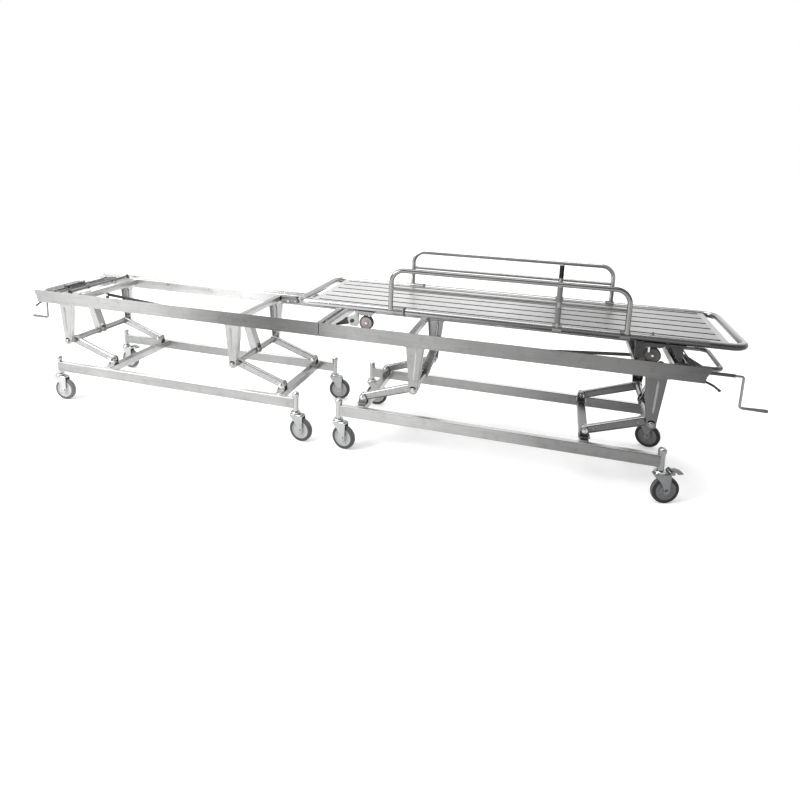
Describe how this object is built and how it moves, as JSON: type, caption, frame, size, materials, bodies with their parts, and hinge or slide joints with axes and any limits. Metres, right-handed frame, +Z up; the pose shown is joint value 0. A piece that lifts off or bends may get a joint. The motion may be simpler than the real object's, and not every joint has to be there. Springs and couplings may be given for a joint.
{
  "type": "docking patient transfer trolley",
  "caption": "Stainless steel docking transfer trolley: mirrored crank-lift carts joined end to end, with a slatted stretcher bed on rollers and folding side rails.",
  "frame": {"origin": "on the floor, under the docking seam, midway across the width", "axes": "+X along the rails towards the cart that carries the bed, +Y across, +Z up"},
  "size_m": [4.17, 0.6276, 0.954],
  "materials": {
    "satin_stainless": "brushed along the tube",
    "polished_tube": "fine satin, round tube",
    "bright_rod": "bright plated",
    "zinc_fork": "zinc plated pressing",
    "wheel_disc": "grey moulded disc",
    "grey_tyre": "dark grey rubber",
    "roller_plastic": "dark moulded roller",
    "dark_bracket": "dark satin paint",
    "dark_plate": "dark perforated sheet",
    "black_grip": "black plastic sleeve",
    "black_lever": "black paint"
  },
  "bodies": {
    "base_a": {"base_frame_a": "satin_stainless"},
    "arms_a_outer": {"lift_arms_outer_a": "satin_stainless"},
    "top_a": {"top_frame_a": "satin_stainless", "end_plate_a": "dark_plate", "stop_rod_a": "bright_rod", "push_handle_a": "polished_tube", "dock_latch_a": "dark_bracket"},
    "arms_a_inner": {"lift_arms_inner_a": "satin_stainless"},
    "draw_bar_a": {"draw_bar_a": "bright_rod"},
    "crank_a": {"crank_a": "bright_rod", "crank_grip_a": "black_grip"},
    "lock_lever_a": {"lock_lever_a": "black_lever"},
    "top_b": {"top_frame_b": "satin_stainless", "end_plate_b": "dark_plate", "stop_rod_b": "bright_rod", "push_handle_b": "polished_tube", "dock_latch_b": "dark_bracket"},
    "arms_b_outer": {"lift_arms_outer_b": "satin_stainless"},
    "arms_b_inner": {"lift_arms_inner_b": "satin_stainless"},
    "base_b": {"base_frame_b": "satin_stainless"},
    "draw_bar_b": {"draw_bar_b": "bright_rod"},
    "crank_b": {"crank_b": "bright_rod", "crank_grip_b": "black_grip"},
    "lock_lever_b": {"lock_lever_b": "black_lever"},
    "bed": {"bed_frame": "polished_tube", "deck_slats": "satin_stainless", "roller_brackets": "dark_bracket", "lock_plates": "dark_bracket"},
    "bed_roller_foot_near": {"bed_roller_foot_near": "roller_plastic"},
    "bed_roller_foot_far": {"bed_roller_foot_far": "roller_plastic"},
    "bed_roller_head_near": {"bed_roller_head_near": "roller_plastic"},
    "bed_roller_head_far": {"bed_roller_head_far": "roller_plastic"},
    "side_rail_near": {"side_rail_near": "polished_tube"},
    "side_rail_far": {"side_rail_far": "polished_tube"},
    "swivel_a_outer_near": {"caster_fork_a_outer_near": "zinc_fork"},
    "wheel_a_outer_near": {"caster_hub_a_outer_near": "wheel_disc", "caster_tyre_a_outer_near": "grey_tyre"},
    "swivel_a_outer_far": {"caster_fork_a_outer_far": "zinc_fork"},
    "wheel_a_outer_far": {"caster_hub_a_outer_far": "wheel_disc", "caster_tyre_a_outer_far": "grey_tyre"},
    "pedal_a_outer_far": {"brake_pedal_a_outer_far": "zinc_fork"},
    "swivel_a_inner_near": {"caster_fork_a_inner_near": "zinc_fork"},
    "wheel_a_inner_near": {"caster_hub_a_inner_near": "wheel_disc", "caster_tyre_a_inner_near": "grey_tyre"},
    "swivel_a_inner_far": {"caster_fork_a_inner_far": "zinc_fork"},
    "wheel_a_inner_far": {"caster_hub_a_inner_far": "wheel_disc", "caster_tyre_a_inner_far": "grey_tyre"},
    "swivel_b_inner_near": {"caster_fork_b_inner_near": "zinc_fork"},
    "wheel_b_inner_near": {"caster_hub_b_inner_near": "wheel_disc", "caster_tyre_b_inner_near": "grey_tyre"},
    "swivel_b_inner_far": {"caster_fork_b_inner_far": "zinc_fork"},
    "wheel_b_inner_far": {"caster_hub_b_inner_far": "wheel_disc", "caster_tyre_b_inner_far": "grey_tyre"},
    "swivel_b_outer_near": {"caster_fork_b_outer_near": "zinc_fork"},
    "wheel_b_outer_near": {"caster_hub_b_outer_near": "wheel_disc", "caster_tyre_b_outer_near": "grey_tyre"},
    "pedal_b_outer_near": {"brake_pedal_b_outer_near": "zinc_fork"},
    "swivel_b_outer_far": {"caster_fork_b_outer_far": "zinc_fork"},
    "wheel_b_outer_far": {"caster_hub_b_outer_far": "wheel_disc", "caster_tyre_b_outer_far": "grey_tyre"}
  },
  "joints": [
    {"name": "lift", "type": "hinge", "parent": "base_a", "child": "arms_a_outer", "pos_m": [-1.296, 0, 0.262], "axis": [0, 1, 0], "range_deg": [-5, 41]},
    {"name": "top_a_level", "type": "hinge", "parent": "arms_a_outer", "child": "top_a", "pos_m": [-1.562, 0, 0.352], "axis": [0, 1, 0], "range_deg": [-41, 5]},
    {"name": "arms_a_inner_swing", "type": "hinge", "parent": "base_a", "child": "arms_a_inner", "pos_m": [-0.226, 0, 0.262], "axis": [0, 1, 0], "range_deg": [-5, 41]},
    {"name": "draw_bar_a_slide", "type": "slide", "parent": "top_a", "child": "draw_bar_a", "axis": [1, 0, 0], "range_m": [-0.018, 0.136]},
    {"name": "crank_a_turn", "type": "hinge", "parent": "top_a", "child": "crank_a", "pos_m": [-1.85, 0, 0.532], "axis": [-1, 0, 0], "range_deg": [-295, 2410]},
    {"name": "undock", "type": "slide", "parent": "top_a", "child": "top_b", "axis": [1, 0, 0], "range_m": [0, 0.4]},
    {"name": "arms_b_outer_swing", "type": "hinge", "parent": "top_b", "child": "arms_b_outer", "pos_m": [1.562, 0, 0.352], "axis": [0, 1, 0], "range_deg": [-41, 5]},
    {"name": "base_b_level", "type": "hinge", "parent": "arms_b_outer", "child": "base_b", "pos_m": [1.296, 0, 0.262], "axis": [0, 1, 0], "range_deg": [-5, 41]},
    {"name": "arms_b_inner_swing", "type": "hinge", "parent": "top_b", "child": "arms_b_inner", "pos_m": [0.492, 0, 0.352], "axis": [0, 1, 0], "range_deg": [-41, 5]},
    {"name": "draw_bar_b_slide", "type": "slide", "parent": "top_b", "child": "draw_bar_b", "axis": [-1, 0, 0], "range_m": [-0.018, 0.136]},
    {"name": "crank_b_turn", "type": "hinge", "parent": "top_b", "child": "crank_b", "pos_m": [1.85, 0, 0.532], "axis": [1, 0, 0], "range_deg": [-295, 2410]},
    {"name": "lock_lever_a_pull", "type": "hinge", "parent": "top_a", "child": "lock_lever_a", "pos_m": [-1.722, -0.218, 0.572], "axis": [0, -1, 0], "range_deg": [0, 25], "stiffness_Nm_per_rad": 1.5, "springref_deg": -14.32},
    {"name": "lock_lever_b_pull", "type": "hinge", "parent": "top_b", "child": "lock_lever_b", "pos_m": [1.722, -0.218, 0.572], "axis": [0, 1, 0], "range_deg": [0, 25], "stiffness_Nm_per_rad": 1.5, "springref_deg": -14.32},
    {"name": "bed_roll", "type": "slide", "parent": "top_b", "child": "bed", "axis": [1, 0, 0], "range_m": [-1.775, 0]},
    {"name": "bed_roller_foot_near_spin", "type": "hinge", "parent": "bed", "child": "bed_roller_foot_near", "pos_m": [0.245, -0.258, 0.6654], "axis": [0, 1, 0], "range_deg": [-2880, 0]},
    {"name": "bed_roller_foot_far_spin", "type": "hinge", "parent": "bed", "child": "bed_roller_foot_far", "pos_m": [0.245, 0.258, 0.6654], "axis": [0, 1, 0], "range_deg": [-2880, 0]},
    {"name": "bed_roller_head_near_spin", "type": "hinge", "parent": "bed", "child": "bed_roller_head_near", "pos_m": [1.533, -0.258, 0.6654], "axis": [0, 1, 0], "range_deg": [-2880, 0]},
    {"name": "bed_roller_head_far_spin", "type": "hinge", "parent": "bed", "child": "bed_roller_head_far", "pos_m": [1.533, 0.258, 0.6654], "axis": [0, 1, 0], "range_deg": [-2880, 0]},
    {"name": "side_rail_near_fold", "type": "hinge", "parent": "bed", "child": "side_rail_near", "pos_m": [0.89, -0.276, 0.744], "axis": [1, 0, 0], "range_deg": [0, 165]},
    {"name": "side_rail_far_fold", "type": "hinge", "parent": "bed", "child": "side_rail_far", "pos_m": [0.89, 0.276, 0.744], "axis": [-1, 0, 0], "range_deg": [0, 165]},
    {"name": "swivel_a_outer_near_turn", "type": "hinge", "parent": "base_a", "child": "swivel_a_outer_near", "pos_m": [-1.618, -0.284, 0.2], "axis": [0, 0, 1], "continuous": true},
    {"name": "wheel_a_outer_near_roll", "type": "hinge", "parent": "swivel_a_outer_near", "child": "wheel_a_outer_near", "pos_m": [-1.58608, -0.28177, 0.0625], "axis": [-0.0698, 0.9976, 0], "continuous": true},
    {"name": "swivel_a_outer_far_turn", "type": "hinge", "parent": "base_a", "child": "swivel_a_outer_far", "pos_m": [-1.618, 0.284, 0.2], "axis": [0, 0, 1], "continuous": true},
    {"name": "wheel_a_outer_far_roll", "type": "hinge", "parent": "swivel_a_outer_far", "child": "wheel_a_outer_far", "pos_m": [-1.58608, 0.28177, 0.0625], "axis": [0.0698, 0.9976, 0], "continuous": true},
    {"name": "pedal_a_outer_far_press", "type": "hinge", "parent": "swivel_a_outer_far", "child": "pedal_a_outer_far", "pos_m": [-1.56812, 0.28051, 0.153], "axis": [0.0698, 0.9976, 0], "range_deg": [0, 14]},
    {"name": "swivel_a_inner_near_turn", "type": "hinge", "parent": "base_a", "child": "swivel_a_inner_near", "pos_m": [-0.118, -0.284, 0.2], "axis": [0, 0, 1], "continuous": true},
    {"name": "wheel_a_inner_near_roll", "type": "hinge", "parent": "swivel_a_inner_near", "child": "wheel_a_inner_near", "pos_m": [-0.08618, -0.28735, 0.0625], "axis": [0.1045, 0.9945, 0], "continuous": true},
    {"name": "swivel_a_inner_far_turn", "type": "hinge", "parent": "base_a", "child": "swivel_a_inner_far", "pos_m": [-0.118, 0.284, 0.2], "axis": [0, 0, 1], "continuous": true},
    {"name": "wheel_a_inner_far_roll", "type": "hinge", "parent": "swivel_a_inner_far", "child": "wheel_a_inner_far", "pos_m": [-0.08618, 0.28735, 0.0625], "axis": [-0.1045, 0.9945, 0], "continuous": true},
    {"name": "swivel_b_inner_near_turn", "type": "hinge", "parent": "base_b", "child": "swivel_b_inner_near", "pos_m": [0.118, -0.284, 0.2], "axis": [0, 0, 1], "continuous": true},
    {"name": "wheel_b_inner_near_roll", "type": "hinge", "parent": "swivel_b_inner_near", "child": "wheel_b_inner_near", "pos_m": [0.14951, -0.28956, 0.0625], "axis": [0.1736, 0.9848, 0], "continuous": true},
    {"name": "swivel_b_inner_far_turn", "type": "hinge", "parent": "base_b", "child": "swivel_b_inner_far", "pos_m": [0.118, 0.284, 0.2], "axis": [0, 0, 1], "continuous": true},
    {"name": "wheel_b_inner_far_roll", "type": "hinge", "parent": "swivel_b_inner_far", "child": "wheel_b_inner_far", "pos_m": [0.14951, 0.28956, 0.0625], "axis": [-0.1736, 0.9848, 0], "continuous": true},
    {"name": "swivel_b_outer_near_turn", "type": "hinge", "parent": "base_b", "child": "swivel_b_outer_near", "pos_m": [1.618, -0.284, 0.2], "axis": [0, 0, 1], "continuous": true},
    {"name": "wheel_b_outer_near_roll", "type": "hinge", "parent": "swivel_b_outer_near", "child": "wheel_b_outer_near", "pos_m": [1.64807, -0.27305, 0.0625], "axis": [-0.342, 0.9397, 0], "continuous": true},
    {"name": "pedal_b_outer_near_press", "type": "hinge", "parent": "swivel_b_outer_near", "child": "pedal_b_outer_near", "pos_m": [1.66498, -0.2669, 0.153], "axis": [-0.342, 0.9397, 0], "range_deg": [0, 14]},
    {"name": "swivel_b_outer_far_turn", "type": "hinge", "parent": "base_b", "child": "swivel_b_outer_far", "pos_m": [1.618, 0.284, 0.2], "axis": [0, 0, 1], "continuous": true},
    {"name": "wheel_b_outer_far_roll", "type": "hinge", "parent": "swivel_b_outer_far", "child": "wheel_b_outer_far", "pos_m": [1.64807, 0.27305, 0.0625], "axis": [0.342, 0.9397, 0], "continuous": true}
  ],
  "couplings": [
    {"joint": "top_a_level", "follows": "lift", "ratio": -1},
    {"joint": "arms_a_inner_swing", "follows": "lift", "ratio": 1},
    {"joint": "draw_bar_a_slide", "follows": "lift", "m_per_rad": 0.187},
    {"joint": "crank_a_turn", "follows": "lift", "ratio": 58.748},
    {"joint": "arms_b_outer_swing", "follows": "lift", "ratio": -1},
    {"joint": "base_b_level", "follows": "lift", "ratio": 1},
    {"joint": "arms_b_inner_swing", "follows": "lift", "ratio": -1},
    {"joint": "draw_bar_b_slide", "follows": "lift", "m_per_rad": 0.187},
    {"joint": "crank_b_turn", "follows": "lift", "ratio": 58.748},
    {"joint": "bed_roller_foot_near_spin", "follows": "bed_roll", "rad_per_m": 28.249},
    {"joint": "bed_roller_foot_far_spin", "follows": "bed_roll", "rad_per_m": 28.249},
    {"joint": "bed_roller_head_near_spin", "follows": "bed_roll", "rad_per_m": 28.249},
    {"joint": "bed_roller_head_far_spin", "follows": "bed_roll", "rad_per_m": 28.249}
  ]
}
